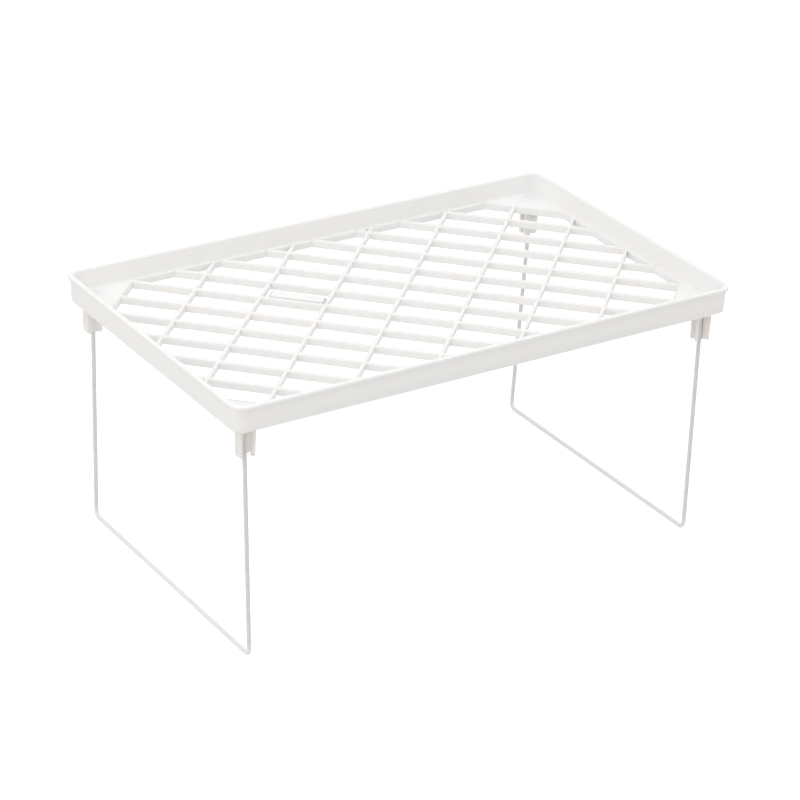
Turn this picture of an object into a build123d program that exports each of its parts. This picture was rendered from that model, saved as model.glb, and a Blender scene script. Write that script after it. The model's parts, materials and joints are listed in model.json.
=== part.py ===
from build123d import *
from math import cos, radians, sin, sqrt, tan
import os

# Folding kitchen shelf riser: a lattice tray on two fold-flat wire legs.
# All sizes in millimetres. Origin on the floor under the middle of the tray,
# +X along the tray's long side, +Y towards its back, +Z up.

# ---- Overall size ----
rim_length = 400.0            # along X, over the rim's lip
rim_width = 242.0             # along Y, over the rim's lip
overall_height = 193.5        # floor to the top of the rim, legs open

# ---- Tray walls and floor ----
wall_height = 19.3            # rim top down to the wall's bottom edge
wall_thickness = 2.2
wall_lean = 0.9               # how far the outer face leans in from lip to bottom edge
lip_overhang = 1.3            # how far the lip stands out from the wall
lip_height = 2.4
rim_top_width = 3.4           # flat top of the rim, lip's edge to inner face
rim_corner_radius = 10.0      # plan radius of the lip's outer corners
floor_depth = 14.4            # rim top down to the floor's upper face
floor_thickness = 2.0
floor_blend = 1.6             # round where the floor meets the walls
lip_round = 0.5               # round on the lip's edges
bottom_edge_round = 0.5

# ---- Lattice window ----
end_border = 4.9              # flat border between a short wall and the lattice
side_border = 2.6             # flat border between a long wall and the lattice
lattice_reach = 186.8         # centre to each corner web's edge rib, square to that rib
lattice_rise = 0.4            # ribs stand this far above the border
skirt_thickness = 1.6         # wall hanging round the edge of the window
dense_ribs_each_way = 7       # close ribs from the centre out to the corner web
sparse_ribs_each_way = 4      # wide-set ribs from the centre out to the corner web
dense_rib_top = 3.5
dense_rib_foot = 2.6
sparse_rib_top = 2.4
sparse_rib_foot = 1.8
ejector_mark_radius = 4.5     # shallow round mark over each leg holder
ejector_mark_depth = 0.2

# ---- Label plate in one lattice cell ----
label_length = 39.6
label_breadth = 10.6
label_thickness = 2.0
label_gap = 0.7               # groove between the plate and the rib beside it
label_face_inset = 1.2        # rim left round the plate's raised blank face
label_face_rise = 0.35
label_seat_width = 3.0        # ledges under the plate that carry it
label_seat_inset = 6.0        # plate end to the middle of each ledge
label_corner_radius = 1.2

# ---- Leg holders ----
holder_length = 12.0          # along X, at the top
holder_depth = 8.0            # along Y
holder_shift = 0.4            # holder's middle stands this far inboard of the leg's upright
holder_drop = 23.5            # below the tray's bottom edge
holder_taper = 0.6            # each side leans in this many degrees
cheek_thickness = 2.7         # where the channel meets the swing slot
cheek_edge_thickness = 1.5    # at the channel's mouth
web_thickness = 1.2
holder_tip_round = 1.6
holder_edge_round = 0.4
channel_arch_rise = 1.6
channel_arch_drop = 1.1       # spring of the arch below the top of the swing slot
web_notch_height = 1.0        # arched notch at the foot of the web
socket_wall = 1.7             # collar round each holder's top
corner_bar_thickness = 1.4    # stiffening bars under the corner webs
press_gap = 0.05              # between the collar and the holder's top

# ---- Wire legs ----
wire_diameter = 3.0
hinge_x = 185.0               # from the tray's middle to the leg's upright
hinge_y = 105.6               # from the tray's middle to the upright, at the hinge
hinge_drop = 26.4             # rim top down to the hinge pins
foot_spread = 5.0             # each upright stands this much wider at the floor
leg_lean = 1.2                # degrees that an open leg leans in under the tray
pin_reach = 6.6               # pin end to the middle of the upright
top_bend_radius = 1.8         # to the wire's centre line
foot_bend_radius = 4.5
pin_clearance = 0.08          # radial, pin in its hole
wire_side_gap = 0.2           # between the wire and the faces it swings past
stop_gap = 0.05               # between an open leg and the cheek it stops against
pin_end_bevel = 0.4

# ---- Selection limits ----
pick_margin = 0.01            # slack when a face or corner is picked by its place
upright_limit = 0.9           # an edge counts as upright when its rise per length passes this

# ---- Plain colours ----
tray_shade = (0.94, 0.94, 0.93)
holder_shade = (0.92, 0.92, 0.91)
wire_shade = (0.85, 0.86, 0.86)

# ---- Worked-out levels and half sizes ----
wall_bottom = overall_height - wall_height
floor_top = overall_height - floor_depth
floor_underside = floor_top - floor_thickness
lattice_top = floor_top + lattice_rise
hinge_height = overall_height - hinge_drop
wire_radius = wire_diameter / 2

wall_top_offset = -lip_overhang
wall_foot_offset = -(lip_overhang + wall_lean)
inner_top_offset = -rim_top_width
inner_foot_offset = wall_foot_offset - wall_thickness

window_half_length = rim_length / 2 + inner_foot_offset - end_border
window_half_width = rim_width / 2 + inner_foot_offset - side_border
dense_pitch = lattice_reach / dense_ribs_each_way
sparse_pitch = lattice_reach / sparse_ribs_each_way
rib_run = rim_length          # long enough to cross the whole window before trimming


def rim_outline(offset_in_plan):
    """Rounded rectangle that keeps the rim's corner centres at any offset."""
    RectangleRounded(
        rim_length + 2 * offset_in_plan,
        rim_width + 2 * offset_in_plan,
        rim_corner_radius + offset_in_plan,
    )


def window_outline(grow):
    """Lattice window: a rectangle whose four corners are cut off at 45 degrees."""
    half_length = window_half_length + grow
    half_width = window_half_width + grow
    corner_sum = (lattice_reach - dense_rib_top / 2 + grow) * sqrt(2)
    end_height = corner_sum - half_length
    side_reach = corner_sum - half_width
    Polygon(
        (half_length, -end_height),
        (half_length, end_height),
        (side_reach, half_width),
        (-side_reach, half_width),
        (-half_length, end_height),
        (-half_length, -end_height),
        (-side_reach, -half_width),
        (side_reach, -half_width),
        align=None,
    )


def rib_plane(angle, distance):
    """Cross-section plane of one rib: local Y is up and the rib runs along its normal."""
    along = Vector(cos(radians(angle)), sin(radians(angle)), 0)
    across = Vector(-sin(radians(angle)), cos(radians(angle)), 0)
    start = across * distance - along * (rib_run / 2)
    return Plane(origin=start, x_dir=across, z_dir=along)


def rib_section(top_width, foot_width):
    """Rib cross-section, slightly narrower at its foot."""
    Polygon(
        (-top_width / 2, lattice_top),
        (top_width / 2, lattice_top),
        (foot_width / 2, wall_bottom),
        (-foot_width / 2, wall_bottom),
        align=None,
    )


# ---- Lattice: two families of ribs at 45 degrees, trimmed to the window ----
with BuildPart() as lattice:
    for step in range(-dense_ribs_each_way, dense_ribs_each_way + 1):
        with BuildSketch(rib_plane(-45, step * dense_pitch)):
            rib_section(dense_rib_top, dense_rib_foot)
        extrude(amount=rib_run)
    for step in range(-sparse_ribs_each_way, sparse_ribs_each_way + 1):
        with BuildSketch(rib_plane(45, step * sparse_pitch)):
            rib_section(sparse_rib_top, sparse_rib_foot)
        extrude(amount=rib_run)
    with BuildSketch(Plane.XY.offset(wall_bottom)):
        window_outline(skirt_thickness / 2)
    extrude(amount=lattice_top - wall_bottom, mode=Mode.INTERSECT)

# Label plate frame: local X runs along the close ribs, origin at the plate's middle.
label_across = -dense_pitch + dense_rib_top / 2 + label_gap + label_breadth / 2
label_along = -(sparse_pitch + sparse_rib_top / 2 + label_gap + label_length / 2)
rib_way = Vector(1, -1, 0) * sqrt(0.5)
cross_way = Vector(1, 1, 0) * sqrt(0.5)
label_centre = rib_way * label_along + cross_way * label_across
label_top = lattice_top - label_face_rise
label_underside = label_top - label_thickness
label_plane = Plane(
    origin=label_centre + Vector(0, 0, label_underside), x_dir=rib_way, z_dir=(0, 0, 1)
)
label_seat_plane = Plane(
    origin=label_centre + Vector(0, 0, wall_bottom), x_dir=rib_way, z_dir=(0, 0, 1)
)
label_seat_near = -(label_breadth / 2 + label_gap + dense_rib_top / 2)
label_seat_far = label_breadth / 2 - label_face_inset

# Holder frame at one corner: the channel opens away from the tray's middle.
web_face = hinge_y - wire_radius - wire_side_gap
holder_inboard = web_face - web_thickness
holder_outboard = holder_inboard + holder_depth
holder_y = (holder_inboard + holder_outboard) / 2
holder_tip = wall_bottom - holder_drop
holder_x = hinge_x - holder_shift
corner_signs = [(-1, -1), (1, -1), (-1, 1), (1, 1)]

# Corner bars: from inside the window's skirt to inside the wall.
corner_cut_sum = (lattice_reach - dense_rib_top / 2 + skirt_thickness / 2) * sqrt(2)
bar_wall_x = rim_length / 2 + wall_foot_offset - wall_thickness / 2
bar_wall_y = rim_width / 2 + wall_foot_offset - wall_thickness / 2
bar_skirt_x = corner_cut_sum - holder_y
bar_skirt_y = corner_cut_sum - holder_x
holder_spots = [(sx * holder_x, sy * holder_y) for sx, sy in corner_signs]

# ---- Tray: walls, lip, floor border, corner webs, lattice and holder sockets ----
with BuildPart() as tray:
    with BuildSketch(Plane.XY.offset(wall_bottom)):
        rim_outline(wall_foot_offset)
    with BuildSketch(Plane.XY.offset(overall_height - lip_height / 2)):
        rim_outline(wall_top_offset)
    loft()
    outer_foot = tray.faces().sort_by(Axis.Z)[0].edges()
    fillet(outer_foot, radius=bottom_edge_round)
    with BuildSketch(Plane.XY.offset(overall_height - lip_height)):
        rim_outline(0)
    extrude(amount=lip_height)
    # hollow above the floor
    with BuildSketch(Plane.XY.offset(floor_top)):
        rim_outline(inner_foot_offset)
    with BuildSketch(Plane.XY.offset(overall_height)):
        rim_outline(inner_top_offset)
    loft(mode=Mode.SUBTRACT)
    inner_floor = tray.faces().filter_by(Plane.XY).filter_by_position(
        Axis.Z, floor_top - pick_margin, floor_top + pick_margin
    )
    fillet(inner_floor.edges(), radius=floor_blend)
    rim_top = tray.faces().filter_by(Plane.XY).sort_by(Axis.Z)[-1]
    fillet(rim_top.edges(), radius=lip_round)
    # hollow under the floor
    with BuildSketch(Plane.XY.offset(wall_bottom)):
        rim_outline(inner_foot_offset)
    extrude(amount=floor_underside - wall_bottom, mode=Mode.SUBTRACT)
    # lattice window with its hanging skirt
    with BuildSketch(Plane.XY.offset(wall_bottom)):
        window_outline(skirt_thickness)
    extrude(amount=floor_top - wall_bottom)
    with BuildSketch(Plane.XY.offset(wall_bottom)):
        window_outline(0)
    extrude(amount=lattice_top - wall_bottom, mode=Mode.SUBTRACT)
    add(lattice.part)
    # ledges that carry the label plate, standing out from the rib beside it
    with BuildSketch(label_seat_plane):
        for end in (-1, 1):
            with Locations(
                (end * (label_length / 2 - label_seat_inset), (label_seat_near + label_seat_far) / 2)
            ):
                Rectangle(label_seat_width, label_seat_far - label_seat_near)
    extrude(amount=label_underside - wall_bottom)
    # stiffening bars under the corner webs, from skirt to wall through each collar
    with BuildSketch(Plane.XY.offset(wall_bottom)):
        for sx, sy in corner_signs:
            with Locations((sx * (bar_wall_x + bar_skirt_x) / 2, sy * holder_y)):
                Rectangle(bar_wall_x - bar_skirt_x, corner_bar_thickness)
            with Locations((sx * holder_x, sy * (bar_wall_y + bar_skirt_y) / 2)):
                Rectangle(corner_bar_thickness, bar_wall_y - bar_skirt_y)
    extrude(amount=floor_underside - wall_bottom)
    # collars that grip the leg holders
    with BuildSketch(Plane.XY.offset(wall_bottom)):
        with Locations(*holder_spots):
            Rectangle(
                holder_length + 2 * (press_gap + socket_wall),
                holder_depth + 2 * (press_gap + socket_wall),
            )
    extrude(amount=floor_underside - wall_bottom)
    with BuildSketch(Plane.XY.offset(wall_bottom)):
        with Locations(*holder_spots):
            Rectangle(holder_length + 2 * press_gap, holder_depth + 2 * press_gap)
    extrude(amount=floor_underside - wall_bottom, mode=Mode.SUBTRACT)
    # round marks left by the mould's ejector pins
    with BuildSketch(Plane.XY.offset(floor_top)):
        with Locations(*holder_spots):
            Circle(ejector_mark_radius)
    extrude(amount=-ejector_mark_depth, mode=Mode.SUBTRACT)

# ---- Label plate: blank, seated on its two ledges ----
with BuildPart() as label_plate:
    with BuildSketch(label_plane):
        RectangleRounded(label_length, label_breadth, label_corner_radius)
    extrude(amount=label_thickness)
    with BuildSketch(label_plane.offset(label_thickness)):
        RectangleRounded(
            label_length - 2 * label_face_inset,
            label_breadth - 2 * label_face_inset,
            label_corner_radius,
        )
    extrude(amount=label_face_rise)

# ---- Leg holder, made for the front right corner and mirrored to the others ----
channel_half = holder_length / 2 - cheek_thickness
channel_mouth_half = holder_length / 2 - cheek_edge_thickness
swing_top = hinge_height + wire_radius + wire_side_gap
channel_shoulder = swing_top - channel_arch_drop
wire_drop = hinge_height - holder_tip
splay_at_tip = foot_spread * wire_drop / (hinge_height - wire_radius)
slot_outboard = hinge_y + wire_radius + splay_at_tip + wire_side_gap
lean_at_tip = wire_drop * tan(radians(leg_lean))
stop_reach = wire_radius + stop_gap
taper_shrink = tan(radians(holder_taper)) * (wall_bottom - holder_tip)
web_plane = Plane.XZ.offset(web_face)
slot_plane = Plane.XZ.offset(slot_outboard)
outside_plane = Plane.XZ.offset(holder_outboard)


def channel_outline(half_width):
    """Upright outline of the holder's channel: straight sides under a low arch."""
    with Locations((holder_x, (channel_shoulder + holder_tip) / 2)):
        Rectangle(2 * half_width, channel_shoulder - holder_tip)
    with Locations((holder_x, channel_shoulder)):
        Ellipse(half_width, channel_arch_rise)


with BuildPart() as front_right_leg_holder:
    # tapered body hanging from the tray
    with BuildSketch(Plane.XY.offset(wall_bottom)):
        with Locations((holder_x, -holder_y)):
            Rectangle(holder_length, holder_depth)
    with BuildSketch(Plane.XY.offset(holder_tip)):
        with Locations((holder_x, -holder_y)):
            Rectangle(holder_length - 2 * taper_shrink, holder_depth - 2 * taper_shrink)
    loft()
    tip_face = front_right_leg_holder.faces().sort_by(Axis.Z)[0]
    fillet(tip_face.edges().filter_by(Axis.Y), radius=holder_tip_round)
    # straight head pressed into the tray's collar
    with BuildSketch(Plane.XY.offset(wall_bottom)):
        with Locations((holder_x, -holder_y)):
            Rectangle(holder_length, holder_depth)
    extrude(amount=floor_underside - wall_bottom)
    upright_edges = front_right_leg_holder.edges().filter_by(
        lambda edge: abs(edge.tangent_at().Z) > upright_limit
    )
    fillet(upright_edges, radius=holder_edge_round)
    # channel open to the outside, with an arched head and sides that splay towards its mouth
    with BuildSketch(slot_plane):
        channel_outline(channel_half)
    with BuildSketch(outside_plane):
        channel_outline(channel_mouth_half)
    loft(mode=Mode.SUBTRACT)
    # swing slot: stops the open leg on its outer side, lets it swing out past the inner cheek
    with BuildSketch(web_plane):
        Polygon(
            (hinge_x - holder_length, holder_tip),
            (hinge_x - lean_at_tip + stop_reach, holder_tip),
            (hinge_x + stop_reach, hinge_height),
            (hinge_x + stop_reach, swing_top),
            (hinge_x - holder_length, swing_top),
            align=None,
        )
    extrude(amount=slot_outboard - web_face, mode=Mode.SUBTRACT)
    # arched notch at the foot of the web
    with BuildSketch(web_plane):
        with Locations((holder_x, holder_tip)):
            Ellipse(channel_half, web_notch_height)
    extrude(amount=-holder_depth, mode=Mode.SUBTRACT)
    # hinge hole through the web
    with BuildSketch(web_plane):
        with Locations((hinge_x, hinge_height)):
            Circle(wire_radius + pin_clearance)
    extrude(amount=-holder_depth, mode=Mode.SUBTRACT)

with BuildPart() as front_left_leg_holder:
    mirror(front_right_leg_holder.part, about=Plane.YZ)
with BuildPart() as back_right_leg_holder:
    mirror(front_right_leg_holder.part, about=Plane.XZ)
with BuildPart() as back_left_leg_holder:
    mirror(front_left_leg_holder.part, about=Plane.XZ)

# ---- Wire legs: one bent wire each, its two ends are the hinge pins ----
# The leg is drawn flat: local X is the tray's Y, local Y runs up along the leaning leg.
leg_length = (hinge_height - wire_radius) / cos(radians(leg_lean))
leg_plane = Plane(
    origin=(hinge_x, 0, hinge_height),
    x_dir=(0, 1, 0),
    z_dir=(cos(radians(leg_lean)), 0, -sin(radians(leg_lean))),
)
pin_end_y = hinge_y - pin_reach
foot_y = hinge_y + foot_spread

with BuildPart() as right_leg:
    with BuildLine(leg_plane) as leg_path:
        Polyline(
            (-pin_end_y, 0),
            (-hinge_y, 0),
            (-foot_y, -leg_length),
            (foot_y, -leg_length),
            (hinge_y, 0),
            (pin_end_y, 0),
        )
        corners = leg_path.vertices().sort_by(Axis.Z)
        fillet(corners[:2], radius=foot_bend_radius)
        top_corners = leg_path.vertices().filter_by_position(
            Axis.Y, -hinge_y - pick_margin, -hinge_y + pick_margin
        ) + leg_path.vertices().filter_by_position(
            Axis.Y, hinge_y - pick_margin, hinge_y + pick_margin
        )
        fillet(top_corners, radius=top_bend_radius)
    with BuildSketch(Plane(origin=leg_path.line @ 0, z_dir=leg_path.line % 0)):
        Circle(wire_radius)
    sweep(path=leg_path.line)
    pin_ends = right_leg.faces().filter_by(Axis.Y)
    chamfer(pin_ends.edges(), length=pin_end_bevel)

with BuildPart() as left_leg:
    mirror(right_leg.part, about=Plane.YZ)

os.makedirs("parts", exist_ok=True)
for node, built, shade in [
    ("tray", tray, tray_shade),
    ("label_plate", label_plate, tray_shade),
    ("front_left_leg_holder", front_left_leg_holder, holder_shade),
    ("back_left_leg_holder", back_left_leg_holder, holder_shade),
    ("front_right_leg_holder", front_right_leg_holder, holder_shade),
    ("back_right_leg_holder", back_right_leg_holder, holder_shade),
    ("left_leg", left_leg, wire_shade),
    ("right_leg", right_leg, wire_shade),
]:
    built.part.label = node
    built.part.color = Color(*shade)
    export_step(built.part, "parts/" + node + ".step")
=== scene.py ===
import json
import math

import bpy
from mathutils import Matrix, Vector


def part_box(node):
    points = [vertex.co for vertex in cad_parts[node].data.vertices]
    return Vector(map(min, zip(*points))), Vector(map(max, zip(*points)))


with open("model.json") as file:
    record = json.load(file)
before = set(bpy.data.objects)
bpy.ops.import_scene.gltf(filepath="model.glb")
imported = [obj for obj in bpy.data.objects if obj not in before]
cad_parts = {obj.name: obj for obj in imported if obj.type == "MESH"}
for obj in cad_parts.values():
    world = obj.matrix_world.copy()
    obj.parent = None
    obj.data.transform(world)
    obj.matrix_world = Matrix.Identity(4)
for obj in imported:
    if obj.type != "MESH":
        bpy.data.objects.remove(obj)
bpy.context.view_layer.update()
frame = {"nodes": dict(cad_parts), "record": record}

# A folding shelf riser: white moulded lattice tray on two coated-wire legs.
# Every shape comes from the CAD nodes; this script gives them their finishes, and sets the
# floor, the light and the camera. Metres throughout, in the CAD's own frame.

MM = 0.001

rim_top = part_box("tray")[1].z
wire_radius = 1.5 * MM
crossbar_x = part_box("right_leg")[1].x - wire_radius     # how far out each leg's crossbar lies
label_face_rise = 0.3 * MM                              # what lies lower is the label's rim
label_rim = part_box("label_plate")[1].z - label_face_rise

# ------------------------------------------------------------------ node helpers


class Tree:
    """A material's node tree with short calls for the nodes used here."""

    def __init__(self, name):
        self.mat = bpy.data.materials.new(name)
        self.mat.use_nodes = True
        self.nodes = self.mat.node_tree.nodes
        self.links = self.mat.node_tree.links
        self.nodes.clear()
        self.out = self.nodes.new("ShaderNodeOutputMaterial")

    def put(self, socket, value):
        """Joins a socket to another node's output, or sets it to a plain value."""
        if isinstance(value, bpy.types.NodeSocket):
            self.links.new(value, socket)
        else:
            socket.default_value = value

    def node(self, kind, settings=None, **inputs):
        """A new node with its settings and inputs; an input's spaces are written as _."""
        made = self.nodes.new(kind)
        for key, value in (settings or {}).items():
            setattr(made, key, value)
        for key, value in inputs.items():
            self.put(made.inputs[key.replace("_", " ")], value)
        return made

    def position(self):
        """Object coordinates in metres: the nodes sit at the frame's origin at rest."""
        return self.node("ShaderNodeTexCoord").outputs["Object"]

    def part(self, vector, axis):
        """One coordinate, X, Y or Z, of a vector."""
        return self.node("ShaderNodeSeparateXYZ", Vector=vector).outputs[axis]

    def noise(self, vector, scale, detail, roughness, stretch=None):
        if stretch is not None:
            mapping = self.node("ShaderNodeMapping", Vector=vector, Scale=stretch)
            vector = mapping.outputs["Vector"]
        made = self.node(
            "ShaderNodeTexNoise", Vector=vector, Scale=scale, Detail=detail, Roughness=roughness
        )
        return made.outputs["Fac"]

    def ramp(self, value, low, high, to_low=0.0, to_high=1.0):
        """Smooth step from to_low at low to to_high at high."""
        made = self.node(
            "ShaderNodeMapRange",
            {"interpolation_type": "SMOOTHSTEP"},
            Value=value,
            From_Min=low,
            From_Max=high,
            To_Min=to_low,
            To_Max=to_high,
        )
        return made.outputs["Result"]

    def math(self, operation, *values):
        made = self.node("ShaderNodeMath", {"operation": operation})
        for socket, value in zip(made.inputs, values):
            self.put(socket, value)
        return made.outputs[0]

    def vector_math(self, operation, *vectors):
        made = self.node("ShaderNodeVectorMath", {"operation": operation})
        for socket, vector in zip(made.inputs, vectors):
            self.put(socket, vector)
        return made.outputs["Value"]

    def mix(self, fac, a, b):
        """Colour a where the factor is 0, and b where it is 1."""
        made = self.node("ShaderNodeMix", {"data_type": "RGBA"})
        self.put(made.inputs["Factor"], fac)
        colour_a, colour_b = [socket for socket in made.inputs if socket.type == "RGBA"]
        self.put(colour_a, a)
        self.put(colour_b, b)
        return next(socket for socket in made.outputs if socket.type == "RGBA")

    def glowing(self, shader, strength):
        """The shader with an even white glow added."""
        glow = self.node("ShaderNodeEmission", Color=(1.0, 1.0, 1.0, 1.0), Strength=strength)
        both = self.node("ShaderNodeAddShader")
        self.put(both.inputs[0], shader)
        self.put(both.inputs[1], glow.outputs[0])
        return both.outputs[0]

    def bump(self, height, distance, strength, normal=None):
        made = self.node(
            "ShaderNodeBump", Height=height, Distance=distance, Strength=strength
        )
        if normal is not None:
            self.put(made.inputs["Normal"], normal)
        return made.outputs["Normal"]

    def finished(self, shader):
        """The material, with this shader as its surface."""
        self.links.new(shader, self.out.inputs["Surface"])
        return self.mat


# ------------------------------------------------------------------ finishes

WARM_WHITE = (0.905, 0.900, 0.892, 1.0)
COOL_WHITE = (0.897, 0.899, 0.899, 1.0)
CREAM_WHITE = (0.905, 0.872, 0.832, 1.0)
PALE_CREAM = (0.905, 0.880, 0.848, 1.0)
BRIGHT_WHITE = (0.945, 0.943, 0.940, 1.0)
MOTTLE_SCUFF_AND_PAINTED_SHADE_WHITE = (0.80, 0.795, 0.785, 1.0)
RIM_PAINTED_SHADE_GREY = (0.70, 0.695, 0.69, 1.0)
EDGE_PAINTED_SHADE_GREY = (0.78, 0.777, 0.770, 1.0)
WIRE_GREY = (0.75, 0.752, 0.755, 1.0)
WIRE_SHADE = (0.70, 0.703, 0.706, 1.0)
WIRE_RUB = (0.58, 0.582, 0.585, 1.0)
WIRE_FOOT_PAINTED_LIGHT = (0.82, 0.82, 0.816, 1.0)
FLOOR_SEEN = (0.72, 0.72, 0.72, 1.0)
FLOOR_SEEN_PALE = (0.75, 0.75, 0.75, 1.0)
FLOOR_BOUNCE = (0.71, 0.70, 0.69, 1.0)

# Noise layers: scale per metre, detail, roughness; a stretched one has its scale in the stretch.
CLOUDS = (1.0, 3.0, 0.55)
CLOUDS_STRETCH = (9.0, 22.0, 22.0)
MOTTLE = (420.0, 2.0, 0.6)
STREAKS = (1.0, 2.0, 0.6)
STREAKS_STRETCH = (60.0, 900.0, 900.0)
PATCHES = (14.0, 2.0, 0.5)
RIPPLE = (60.0, 2.0, 0.5)
GRAIN = (2600.0, 2.0, 0.6)
LUMPS = (260.0, 2.0, 0.5)
DRAWN = (1.0, 3.0, 0.6)
DRAWN_STRETCH = (700.0, 120.0, 60.0)
RUB_PATCHES = (38.0, 3.0, 0.6)
FLOOR_MOTTLE = (3.0, 2.0, 0.5)

# Where a noise layer begins to show, and where it shows fully.
MIDDLE_SPLIT = (0.3, 0.7)
CLOUDS_SPLIT = (0.35, 0.65)
MOTTLE_SPLIT = (0.40, 0.85)
STREAKS_SPLIT = (0.66, 0.74)
PATCHES_SPLIT = (0.50, 0.66)
RUB_PATCHES_SPLIT = (0.52, 0.70)
RUB_DRAWN_SPLIT = (0.50, 0.72)

# How far each layer pulls the tint towards its own.
MOTTLE_TINT = 0.10
SCUFF_TINT = 0.10
EDGE_PAINTED_SHADE_AMOUNT = 0.45
CREASE_PAINTED_SHADE_AMOUNT = 0.25
RUB_TINT = 0.30

# Edges: how far they round, and the cosines between the rounded and the flat normal at which
# the edges' painted shade begins and is full. Creases: how far their painted shade reaches, and
# how open they are.
EDGE_RADIUS = 0.45 * MM
EDGE_SAMPLES = 6
EDGE_SPLIT = (0.995, 0.80)
CREASE_REACH = 5.0 * MM
CREASE_SAMPLES = 8
CREASE_SPLIT = (0.15, 0.65)
RIM_BLEND = 0.1 * MM

# Relief: height and strength of each layer.
RIPPLE_RELIEF = (0.25 * MM, 0.35)
GRAIN_HEIGHT = 0.03 * MM
LUMPS_RELIEF = (0.12 * MM, 0.5)
DRAWN_RELIEF = (0.03 * MM, 0.4)

ROUGHNESS_BELOW, ROUGHNESS_ABOVE = 0.02, 0.03    # the mottle's spread round a plastic's roughness
SCUFF_ROUGHNESS = 0.12
PLASTIC_IOR = 1.49
PLASTIC_SPECULAR = 0.42
PLASTIC_GLOW_RADIUS = (1.0, 0.92, 0.85)          # how far red, green and blue travel inside
PLASTIC_GLOW_DEPTH = 2.5 * MM

WIRE_ROUGHNESS = (0.26, 0.36)
WIRE_IOR = 1.5
WIRE_COAT, WIRE_COAT_ROUGHNESS = 0.5, 0.15
WIRE_SHEEN, WIRE_SHEEN_ROUGHNESS = 0.6, 0.3
# painted light: the crossbar's paler colour fades out between these heights
WIRE_FOOT_TOP, WIRE_FOOT_FADE = 3.5 * MM, 12.0 * MM    # heights between which the pale foot ends

FLOOR_LIFT = 0.50             # glow of the floor as the camera sees it
POOL_GLOW = 0.12              # light-table glow under the tray, as it lights the object
POOL_INNER, POOL_OUTER = 0.14, 0.34
FOOT_GLOW = 0.12              # the same, in a narrow strip under each leg's crossbar
FOOT_INNER, FOOT_OUTER = 4.0 * MM, 9.0 * MM


def moulded_plastic(name, warm, cool, grain, roughness, translucent, rim_height=None):
    """Pale polypropylene: cloudy tint, fine mould grain, slow ripple, painted shade greying the
    edges to dim their highlight, faint scuffs. What lies below the rim height, where one is
    given, is greyed with painted shade, the shade of a sunken rim."""
    t = Tree(name)
    at = t.position()
    bevel = t.node("ShaderNodeBevel", {"samples": EDGE_SAMPLES}, Radius=EDGE_RADIUS)
    rounded = bevel.outputs["Normal"]
    flat = t.node("ShaderNodeNewGeometry").outputs["Normal"]
    edges = t.ramp(t.vector_math("DOT_PRODUCT", rounded, flat), *EDGE_SPLIT)

    # tint: slow clouds from the melt's flow, plus a fine mottle
    clouds = t.noise(at, *CLOUDS, stretch=CLOUDS_STRETCH)
    mottle = t.noise(at, *MOTTLE)
    tint = t.mix(t.ramp(clouds, *CLOUDS_SPLIT), warm, cool)
    tint = t.mix(t.ramp(mottle, *MOTTLE_SPLIT, 0.0, MOTTLE_TINT), tint, MOTTLE_SCUFF_AND_PAINTED_SHADE_WHITE)

    # handling scuffs: short faint streaks, only here and there
    streaks = t.noise(at, *STREAKS, stretch=STREAKS_STRETCH)
    patches = t.noise(at, *PATCHES)
    scuffs = t.math(
        "MULTIPLY", t.ramp(streaks, *STREAKS_SPLIT), t.ramp(patches, *PATCHES_SPLIT)
    )
    tint = t.mix(t.math("MULTIPLY", scuffs, SCUFF_TINT), tint, MOTTLE_SCUFF_AND_PAINTED_SHADE_WHITE)
    # painted shade: edges are greyed in the colour to dim their highlight
    tint = t.mix(t.math("MULTIPLY", edges, EDGE_PAINTED_SHADE_AMOUNT), tint, EDGE_PAINTED_SHADE_GREY)

    # painted shade: creases, found by ambient occlusion, are darkened in the colour
    crease = t.node(
        "ShaderNodeAmbientOcclusion", {"samples": CREASE_SAMPLES}, Distance=CREASE_REACH
    ).outputs["AO"]
    tint = t.mix(t.ramp(crease, *CREASE_SPLIT, CREASE_PAINTED_SHADE_AMOUNT, 0.0), tint, MOTTLE_SCUFF_AND_PAINTED_SHADE_WHITE)
    if rim_height is not None:
        # painted shade: the label's sunken rim is greyed in the colour, standing in for the shade
        # in its gap
        sunken_rim_painted_shade = t.ramp(t.part(at, "Z"), rim_height, rim_height + RIM_BLEND, 1.0, 0.0)
        tint = t.mix(sunken_rim_painted_shade, tint, RIM_PAINTED_SHADE_GREY)

    # relief: spark-eroded mould grain over a slow shrinkage ripple
    normal = t.bump(t.noise(at, *RIPPLE), *RIPPLE_RELIEF, rounded)
    normal = t.bump(t.noise(at, *GRAIN), GRAIN_HEIGHT, grain, normal)

    rough = t.ramp(
        mottle, *MIDDLE_SPLIT, roughness - ROUGHNESS_BELOW, roughness + ROUGHNESS_ABOVE
    )
    rough = t.math("ADD", rough, t.math("MULTIPLY", scuffs, SCUFF_ROUGHNESS))
    shader = t.node(
        "ShaderNodeBsdfPrincipled",
        Base_Color=tint,
        Roughness=rough,
        Normal=normal,
        IOR=PLASTIC_IOR,
        Specular_IOR_Level=PLASTIC_SPECULAR,
        Subsurface_Weight=translucent,
        Subsurface_Radius=PLASTIC_GLOW_RADIUS,
        Subsurface_Scale=PLASTIC_GLOW_DEPTH,
    )
    return t.finished(shader.outputs[0])


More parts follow.
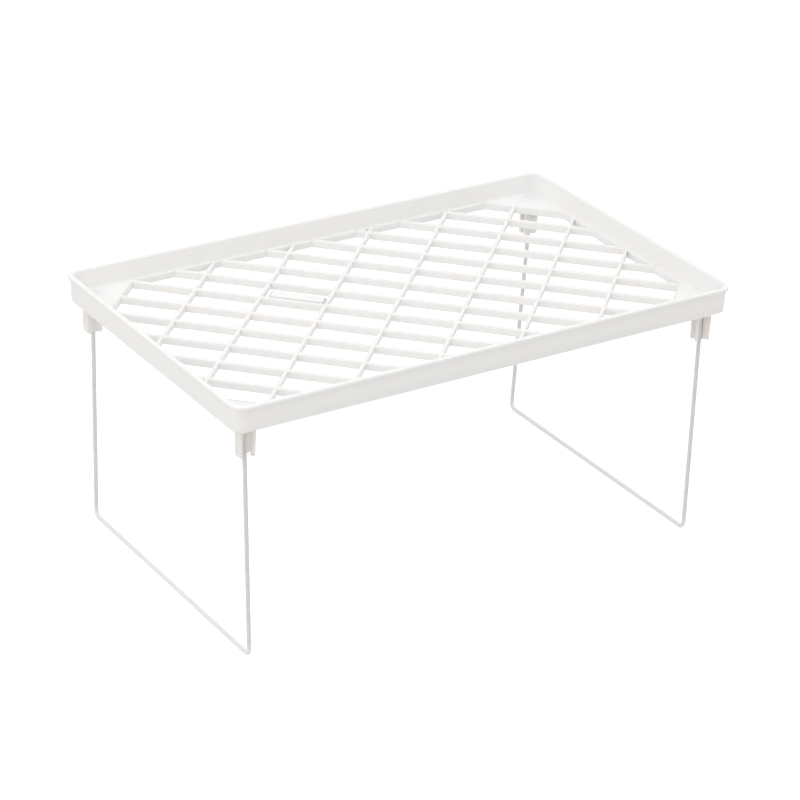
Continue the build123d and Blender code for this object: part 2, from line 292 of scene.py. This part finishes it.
def coated_wire(name):
    """Pale plastic-dipped steel wire: soft gloss and sheen, drawn-out ripple in the coat, faint
    grey rubs, and a crossbar painted paler near the floor, as painted light from below."""
    t = Tree(name)
    at = t.position()
    lumps = t.noise(at, *LUMPS)
    drawn = t.noise(at, *DRAWN, stretch=DRAWN_STRETCH)
    rubs = t.math(
        "MULTIPLY",
        t.ramp(t.noise(at, *RUB_PATCHES), *RUB_PATCHES_SPLIT),
        t.ramp(drawn, *RUB_DRAWN_SPLIT),
    )
    coat = t.mix(t.ramp(lumps, *MIDDLE_SPLIT), WIRE_GREY, WIRE_SHADE)
    coat = t.mix(t.math("MULTIPLY", rubs, RUB_TINT), coat, WIRE_RUB)
    # painted light: the crossbar near the floor is painted paler, standing in for light from the
    # floor below
    foot_painted_light = t.ramp(t.part(at, "Z"), WIRE_FOOT_TOP, WIRE_FOOT_FADE, 1.0, 0.0)
    coat = t.mix(foot_painted_light, coat, WIRE_FOOT_PAINTED_LIGHT)
    shader = t.node(
        "ShaderNodeBsdfPrincipled",
        Base_Color=coat,
        Roughness=t.ramp(drawn, *MIDDLE_SPLIT, *WIRE_ROUGHNESS),
        Normal=t.bump(drawn, *DRAWN_RELIEF, t.bump(lumps, *LUMPS_RELIEF)),
        IOR=WIRE_IOR,
        Coat_Weight=WIRE_COAT,
        Coat_Roughness=WIRE_COAT_ROUGHNESS,
        Sheen_Weight=WIRE_SHEEN,
        Sheen_Roughness=WIRE_SHEEN_ROUGHNESS,
    )
    return t.finished(shader.outputs[0])


def studio_floor(name):
    """Plain pale sweep: white to the camera, duller and warmer in what it bounces."""
    t = Tree(name)
    at = t.position()
    seen_tint = t.mix(t.noise(at, *FLOOR_MOTTLE), FLOOR_SEEN, FLOOR_SEEN_PALE)
    seen = t.node("ShaderNodeBsdfDiffuse", Color=seen_tint).outputs[0]
    bounce = t.node("ShaderNodeBsdfDiffuse", Color=FLOOR_BOUNCE).outputs[0]
    pool = t.ramp(t.vector_math("LENGTH", at), POOL_INNER, POOL_OUTER, POOL_GLOW, 0.0)
    from_middle = t.math("ABSOLUTE", t.part(at, "X"))
    from_bar = t.math("ABSOLUTE", t.math("SUBTRACT", from_middle, crossbar_x))
    strip = t.ramp(from_bar, FOOT_INNER, FOOT_OUTER, FOOT_GLOW, 0.0)
    to_camera = t.node("ShaderNodeLightPath").outputs["Is Camera Ray"]
    by_ray = t.node("ShaderNodeMixShader", Fac=to_camera)
    t.put(by_ray.inputs[1], t.glowing(bounce, t.math("ADD", pool, strip)))
    t.put(by_ray.inputs[2], t.glowing(seen, FLOOR_LIFT))
    return t.finished(by_ray.outputs[0])


# Each plastic: warm and cool tint, strength of the grain, roughness, translucency.
finishes = {
    "tray_plastic": moulded_plastic(
        "tray_plastic_finish", WARM_WHITE, COOL_WHITE, 0.5, 0.40, 0.80
    ),
    "label_plastic": moulded_plastic(
        "label_plastic_finish", BRIGHT_WHITE, BRIGHT_WHITE, 0.25, 0.38, 0.45, label_rim
    ),
    "holder_plastic": moulded_plastic(
        "holder_plastic_finish", CREAM_WHITE, PALE_CREAM, 0.4, 0.36, 0.70
    ),
    "coated_wire": coated_wire("coated_wire_finish"),
}

slot_of = {part["node"]: part["material_slot"] for part in frame["record"]["subparts"]}
for node_name, obj in frame["nodes"].items():
    for slot in obj.material_slots:
        slot.material = finishes[slot_of[node_name]]

# ------------------------------------------------------------------ floor, light, camera

scene = bpy.context.scene

floor_half = 6.0
floor_mesh = bpy.data.meshes.new("studio_floor")
floor_mesh.from_pydata(
    [(sx * floor_half, sy * floor_half, 0.0) for sx, sy in ((-1, -1), (1, -1), (1, 1), (-1, 1))],
    [],
    [(0, 1, 2, 3)],
)
floor = bpy.data.objects.new("studio_floor", floor_mesh)
scene.collection.objects.link(floor)
floor.data.materials.append(studio_floor("studio_floor_finish"))

SKY_TINT = (1.0, 0.995, 0.985, 1.0)
HORIZON_LIGHT = 0.49
ZENITH_LIGHT = 0.91
RIGHT_LIGHT = 0.37            # added on the right-hand side, so the ribs' far sides stay pale


def studio_sky(name):
    """Soft white surround, dimmer at the horizon than overhead, and brighter on the right."""
    made = bpy.data.worlds.new(name)
    made.use_nodes = True
    nodes, links = made.node_tree.nodes, made.node_tree.links
    split = nodes.new("ShaderNodeSeparateXYZ")
    links.new(nodes.new("ShaderNodeTexCoord").outputs["Generated"], split.inputs[0])
    both = nodes.new("ShaderNodeMath")
    graded = (("Z", HORIZON_LIGHT, ZENITH_LIGHT), ("X", 0.0, RIGHT_LIGHT))
    for socket, (axis, at_none, at_full) in zip(both.inputs, graded):
        brightness = nodes.new("ShaderNodeMapRange")
        brightness.inputs["To Min"].default_value = at_none
        brightness.inputs["To Max"].default_value = at_full
        links.new(split.outputs[axis], brightness.inputs["Value"])
        links.new(brightness.outputs["Result"], socket)
    sky = nodes["Background"]
    sky.inputs["Color"].default_value = SKY_TINT
    links.new(both.outputs[0], sky.inputs["Strength"])
    return made


scene.world = studio_sky("studio")

LIGHTS_AIM = Vector((0.0, 0.0, rim_top * 0.7))
# Each light: place, width, height, watts, tint.
SOFTBOXES = {
    "overhead": ((-0.2, -0.2, 2.2), 2.6, 2.6, 7.0, (1.0, 1.0, 1.0)),
    "left_fill": ((-2.2, -0.3, 1.2), 1.8, 1.6, 12.2, (1.0, 1.0, 1.0)),
    "front_fill": ((0.6, -2.6, 1.3), 2.0, 1.4, 3.2, (1.0, 0.99, 0.975)),
}
for light_name, (place, width, height, watts, light_tint) in SOFTBOXES.items():
    light = bpy.data.lights.new(light_name, "AREA")
    light.shape = "RECTANGLE"
    light.size, light.size_y = width, height
    light.energy = watts
    light.color = light_tint
    softbox = bpy.data.objects.new(light_name, light)
    softbox.location = place
    softbox.rotation_mode = "QUATERNION"
    softbox.rotation_quaternion = (LIGHTS_AIM - Vector(place)).to_track_quat("-Z", "Y")
    scene.collection.objects.link(softbox)

scene.view_settings.view_transform = "Standard"
scene.view_settings.look = "None"
scene.view_settings.exposure = 0.0

# Camera: turned, raised and rolled as seen, aimed a little under the rim's middle.
AZIMUTH = math.radians(-33.46)
ELEVATION = math.radians(26.57)
ROLL = math.radians(2.24)
DISTANCE = 2.0759
AIM_BELOW = 0.0838
SENSOR_WIDTH_MM = 36.0
LENS_MM = 134.3
CLIP_START, CLIP_END = 0.05, 50.0

sa, ca = math.sin(AZIMUTH), math.cos(AZIMUTH)
se, ce = math.sin(ELEVATION), math.cos(ELEVATION)
back = Vector((sa * ce, -ca * ce, se))
level_right = Vector((ca, sa, 0.0))
level_up = back.cross(level_right)
right = math.cos(ROLL) * level_right + math.sin(ROLL) * level_up
up = math.cos(ROLL) * level_up - math.sin(ROLL) * level_right
spot = Vector((0.0, 0.0, rim_top)) - up * AIM_BELOW + back * DISTANCE

camera_data = bpy.data.cameras.new("camera")
camera_data.sensor_width = SENSOR_WIDTH_MM
camera_data.lens = LENS_MM
camera_data.clip_start, camera_data.clip_end = CLIP_START, CLIP_END
camera = bpy.data.objects.new("camera", camera_data)
rotation = Matrix((right, up, back)).transposed().to_4x4()
camera.matrix_world = Matrix.Translation(spot) @ rotation
scene.collection.objects.link(camera)
scene.camera = camera
